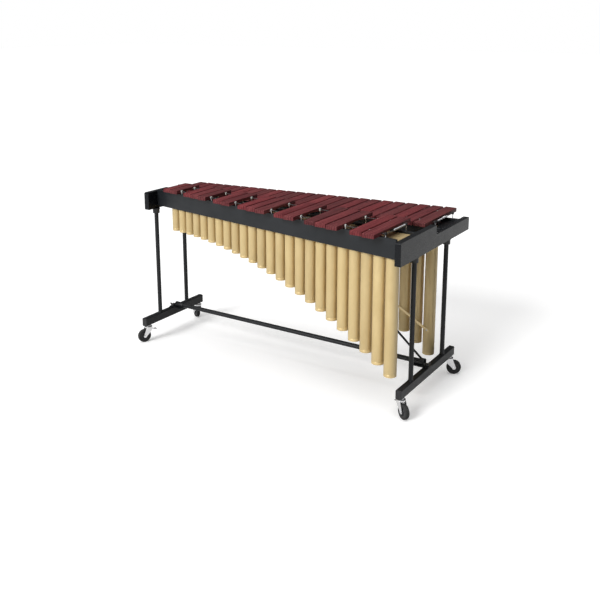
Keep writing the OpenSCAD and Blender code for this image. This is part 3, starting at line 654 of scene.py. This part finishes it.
def coil(mesh, low, high):
    """A closed-wound spring along Y, with an eye at each end."""
    axis = middle_of(low, high)
    reach = (high.z - low.z) / 2 - WIRE_R
    start = low.y + 2 * EYE_R
    length = high.y - low.y - 4 * EYE_R
    turns = int(length / COIL_PITCH)
    steps = turns * COIL_STEPS
    points = []
    for i in range(steps + 1):
        angle = 2 * math.pi * turns * i / steps
        points.append(Vector((axis.x + reach * math.cos(angle), start + length * i / steps,
                              axis.z + reach * math.sin(angle))))
    loft(mesh, tube_rings(points, WIRE_R, WIRE_SIDES))
    for y in (low.y + EYE_R + WIRE_R, high.y - EYE_R - WIRE_R):
        wire_ring(mesh, Vector((axis.x, y, axis.z)), EYE_R, WIRE_R)


def link(mesh, low, high):
    """A short rod with an eye at each end that joins two springs."""
    axis = middle_of(low, high)
    ends = [Vector((axis.x, y, axis.z)) for y in (low.y, high.y)]
    loft(mesh, tube_rings([ends[0], axis, ends[1]], LINK_R, LINK_SIDES))
    for end, turn in zip(ends, (1, -1)):
        wire_ring(mesh, end + Vector((0, turn * LINK_EYE_R, 0)), LINK_EYE_R, WIRE_R)


def make_springs():
    """A coil or a link for each solid of the springs' node, by its length."""
    mesh = bmesh.new()
    for low, high in solids_of("cord_springs"):
        if high.y - low.y > SPRING_MIN_L:
            coil(mesh, low, high)
        else:
            link(mesh, low, high)
    new_piece("cord_spring_coils", mesh, SPRING_STEEL, "frame", "cord_springs")


# ------------------------------------------------------------------ wheels ----
# Half of each section, from the middle of the wheel outwards: (radius, distance), in mm.
TYRE_HALF = ((36.9, 0.0), (36.9, 0.45), (37.5, 0.85), (37.5, 3.2), (36.9, 3.6), (36.9, 4.4),
             (37.4, 4.8), (37.1, 7.0), (36.2, 9.0), (34.4, 10.5), (32.0, 11.0), (29.5, 10.8),
             (29.0, 10.3), (25.0, 10.0))
HUB_OUTER = ((25.0, 9.6), (24.6, 10.0), (22.6, 10.0), (22.0, 9.4), (21.2, 5.6), (20.2, 5.0),
             (10.2, 5.8), (9.3, 6.6), (9.0, 11.9), (8.4, 12.5), (4.05, 12.5))
# Each rib's (distance from the axle, height above the wheel's middle), in mm.
RIB_CREST = ((8.6, 10.4), (12.0, 8.6), (18.0, 7.8), (21.9, 8.4))
RIB_FOOT = 4.5
RIB_T = 2.2
RIB_EDGE = 0.4
RIBS = 6
WHEEL_STEPS = 72
WHEEL_SHARP = 35


def wheel_place(node):
    """The wheel's centre with its axle as local Z, from the CAD solid's own points."""
    points = np.array([v.co for v in NODES[node].data.vertices])
    centre = (points.min(axis=0) + points.max(axis=0)) / 2
    flat = (points - centre)[:, :2]
    axle = np.linalg.eigh(flat.T @ flat)[1][:, 0]
    turn = Vector((axle[0], axle[1], 0)).to_track_quat("Z", "Y").to_matrix().to_4x4()
    return Matrix.Translation(Vector(centre)) @ turn


def both_halves(half):
    """A closed profile from one half of it, mirrored about the wheel's middle."""
    mirrored = [(r, -z) for r, z in reversed(half)]
    profile = list(half) + [p for p in mirrored if p[1] < 0]
    return [(r * MM, z * MM) for r, z in profile]


def rib(mesh, place, side):
    """One radial rib of a hub, from its boss to its rim."""
    wide = RIB_T / 2
    narrow = wide - RIB_EDGE
    rings = []
    for r, crest in RIB_CREST:
        section = ((-wide, RIB_FOOT), (-wide, crest - RIB_EDGE), (-narrow, crest),
                   (narrow, crest), (wide, crest - RIB_EDGE), (wide, RIB_FOOT))
        rings.append([place @ Vector((r * MM, y * MM, side * z * MM)) for y, z in section])
    loft(mesh, rings)


def make_wheel(caster):
    """A caster's tyre and its ribbed hub, on the wheel's body."""
    body = caster + "_wheel"
    tyre = bmesh.new()
    lathe(tyre, both_halves(TYRE_HALF), wheel_place(caster + "_tyre"), WHEEL_STEPS)
    new_piece(caster + "_tyre_rubber", tyre, TYRE_BLACK, body, caster + "_tyre",
              WHEEL_SHARP)
    hub = bmesh.new()
    place = wheel_place(caster + "_hub")
    lathe(hub, both_halves(HUB_OUTER), place, WHEEL_STEPS)
    for side in (-1, 1):
        for k in range(RIBS):
            turn = place @ Matrix.Rotation(2 * math.pi * k / RIBS, 4, "Z")
            rib(hub, turn, side)
    new_piece(caster + "_hub_moulding", hub, HUB_BLACK, body, caster + "_hub",
              WHEEL_SHARP)


# ------------------------------------------------------------------- floor ----
# The floor throws less light back at the tubes than a white one, and its shadows are lifted.
FLOOR_HALF = 40.0
FLOOR_BOUNCE = 0.28
FLOOR_GLOW = 0.22


def make_stage():
    """A plain pale floor."""
    mesh = bmesh.new()
    corners = [mesh.verts.new((x * FLOOR_HALF, y * FLOOR_HALF, 0)) for x, y in
               ((-1, -1), (1, -1), (1, 1), (-1, 1))]
    mesh.faces.new(corners)
    data = bpy.data.meshes.new("floor")
    mesh.to_mesh(data)
    mesh.free()
    floor = bpy.data.objects.new("floor", data)
    bpy.context.scene.collection.objects.link(floor)
    g = Graph("floor", Roughness=0.7, Specular_IOR_Level=0.2, Emission_Color=(1, 1, 1, 1))
    rays = g.node("ShaderNodeLightPath").outputs
    pale = g.ramp(g.noise(g.coords(), 2.0), (0.3, (0.93, 0.93, 0.93)), (0.7, (0.95, 0.95, 0.95)))
    g.colour(g.mix(rays["Is Diffuse Ray"], pale, (FLOOR_BOUNCE, FLOOR_BOUNCE, FLOOR_BOUNCE, 1)))
    g.link(g.span(rays["Is Camera Ray"], 0.0, FLOOR_GLOW, 0.0, 1.0),
           g.shader.inputs["Emission Strength"])
    paint(floor, g.material)


# ------------------------------------------------------------------ lights ----
ROOM_LIGHT = 0.11
# Each lamp's (name, direction it shines in, strength, spread in degrees).
LAMPS = (("key", (0.16, 0.87, -0.47), 2.8, 24),
         ("overhead", (0.05, 0.1, -1), 1.8, 70))


def sun(name, towards, strength, spread):
    """A soft distant light that shines along towards."""
    data = bpy.data.lights.new(name, "SUN")
    data.energy = strength
    data.angle = math.radians(spread)
    light = bpy.data.objects.new(name, data)
    light.rotation_mode = "QUATERNION"
    light.rotation_quaternion = Vector(towards).to_track_quat("-Z", "Y")
    bpy.context.scene.collection.objects.link(light)


def make_lights():
    """A pale room, white where the camera looks past the floor, with two soft lamps."""
    world = bpy.data.worlds.new("studio")
    world.use_nodes = True
    tree = world.node_tree
    room = tree.nodes["Background"]
    room.inputs["Strength"].default_value = ROOM_LIGHT
    white = tree.nodes.new("ShaderNodeBackground")
    for shade in (room, white):
        shade.inputs["Color"].default_value = (1.0, 1.0, 1.0, 1)
    choice = tree.nodes.new("ShaderNodeMixShader")
    tree.links.new(tree.nodes.new("ShaderNodeLightPath").outputs["Is Camera Ray"],
                   choice.inputs["Fac"])
    tree.links.new(room.outputs["Background"], choice.inputs[1])
    tree.links.new(white.outputs["Background"], choice.inputs[2])
    tree.links.new(choice.outputs["Shader"], tree.nodes["World Output"].inputs["Surface"])
    bpy.context.scene.world = world
    for lamp in LAMPS:
        sun(*lamp)
    bpy.context.scene.view_settings.view_transform = "Standard"


# ------------------------------------------------------------------- build ----
CASTERS = ("front_high", "back_high", "front_low", "back_low")

# The CAD nodes that are shown as they are: (nodes, material, rounding of their sharp edges).
FINISHES = (
    (("front_rail", "back_rail", "raised_inner_rail", "lower_inner_rail", "inner_rail_ties"),
     RAIL_BLACK, 1.2 * MM),
    (("low_end_board", "high_end_board"), BOARD_BLACK, 3.0 * MM),
    (("low_front_leg", "low_back_leg", "high_front_leg", "high_back_leg", "crossbar"),
     STAND_BLACK, 0.0),
    # natural_top_plate takes the stand's black: painted shade, a dark sheet standing in for the
    # shade under the natural bars.
    (("deck_brackets", "natural_top_plate"), STAND_BLACK, 0.4 * MM),
    (("low_foot_beam", "high_foot_beam", "diagonal_brace"), STAND_BLACK, 0.5 * MM),
    (("crossbar_saddles",), STAND_BLACK, 0.8 * MM),
    (("leg_collars", "foot_end_caps", "low_wing_knob", "high_wing_knob"), PLASTIC_BLACK,
     0.8 * MM),
    (("post_hooks",), HOOK_GREY, 0.8 * MM),
    (("cord_end_hooks",), SLEEVE_BLACK, 0.8 * MM),
    (("natural_posts", "accidental_posts"), STEEL, 0.0),
    (("screw_heads",), STEEL, 0.3 * MM),
    (("caster_stems",), STEEL, 0.5 * MM),
    ([caster + "_fork" for caster in CASTERS], CHROME, 0.6 * MM),
    (("front_high_brake_pedal", "front_low_brake_pedal"), CHROME, 0.4 * MM),
    (("resonator_stoppers",), STOPPER_GOLD, 0.6 * MM),
    (("accidental_top_plate",), PLATE_GOLD, 0.4 * MM),
    (("tube_tie_strap",), STRAP_GOLD, 0.4 * MM),
)

make_camera()
make_stage()
make_lights()

count = 0
for octave in ("natural_bars_top", "natural_bars_octave_3", "natural_bars_octave_2",
               "natural_bars_octave_1", "accidental_bars_top", "accidental_bars_octave_3",
               "accidental_bars_octave_2", "accidental_bars_octave_1"):
    count += make_bars(octave, octave.split("_")[0] + "_bar_cord", count)
for index, bank in enumerate(("accidental_resonators_high", "accidental_resonators_low",
                              "natural_resonators_high", "natural_resonators_low")):
    make_tubes(bank, BANK_TONES * index)
for cord in ("natural_bar_cord", "accidental_bar_cord"):
    make_cord(cord)
make_springs()

for caster in CASTERS:
    make_wheel(caster)
for nodes, material, rounding in FINISHES:
    for name in nodes:
        finish_node(name, material, rounding)
